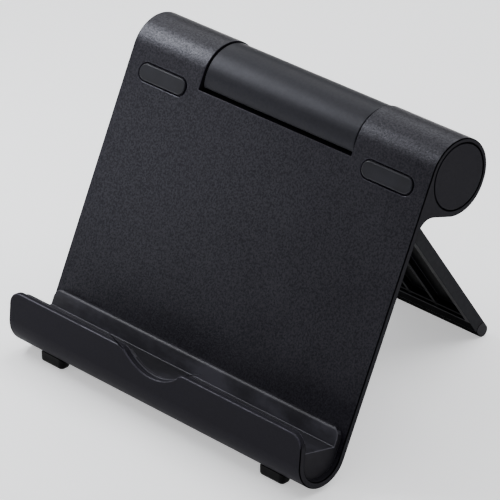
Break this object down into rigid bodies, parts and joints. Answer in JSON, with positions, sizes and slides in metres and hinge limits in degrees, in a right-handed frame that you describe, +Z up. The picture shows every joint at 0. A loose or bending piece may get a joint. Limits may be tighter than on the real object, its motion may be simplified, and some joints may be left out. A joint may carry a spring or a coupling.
{
  "type": "tablet stand",
  "caption": "Folding tablet stand with a J-shaped backrest, rubber-lined ledge, and a leg on a friction hinge between two round ears.",
  "frame": {"origin": "middle of the stand's footprint, on the surface it stands on, with the leg at its rest angle", "axes": "+X along the hinge to the right as seen from the front, +Y towards the back, +Z up"},
  "size_m": [0.12, 0.1084, 0.0897],
  "materials": {
    "shell": "finely grained moulded plastic",
    "barrel": "satin moulded plastic",
    "cap": "matt moulded plastic",
    "leg": "matt moulded plastic",
    "liner": "soft satin rubber",
    "pad": "soft satin rubber",
    "foot": "glossy rubber",
    "steel": "turned and zinc plated",
    "spring_steel": "hardened and oiled",
    "bronze": "lapped washer bronze",
    "black_screw": "black oxide"
  },
  "bodies": {
    "backrest": {"backrest": "shell", "ledge_liner": "liner", "grip_pad_left": "pad", "grip_pad_right": "pad", "front_foot_left": "foot", "front_foot_right": "foot", "end_cap_left": "cap", "end_cap_right": "cap", "hinge_shaft_left": "steel", "hinge_shaft_right": "steel", "flange_screws": "black_screw", "friction_washer_left": "bronze", "friction_washer_right": "bronze", "stop_washer_left": "bronze", "stop_washer_right": "bronze", "disc_springs_left": "spring_steel", "disc_springs_right": "spring_steel", "lock_nuts": "steel"},
    "leg": {"leg_panel": "leg", "barrel_cover": "barrel", "leg_foot": "foot", "hinge_bracket_left": "steel", "hinge_bracket_right": "steel", "bracket_screws": "black_screw", "cover_screws": "black_screw"}
  },
  "joints": [
    {"name": "leg_hinge", "type": "hinge", "parent": "backrest", "child": "leg", "pos_m": [0, 0.00675, 0.07854], "axis": [1, 0, 0], "range_deg": [-59.84, 40]}
  ]
}
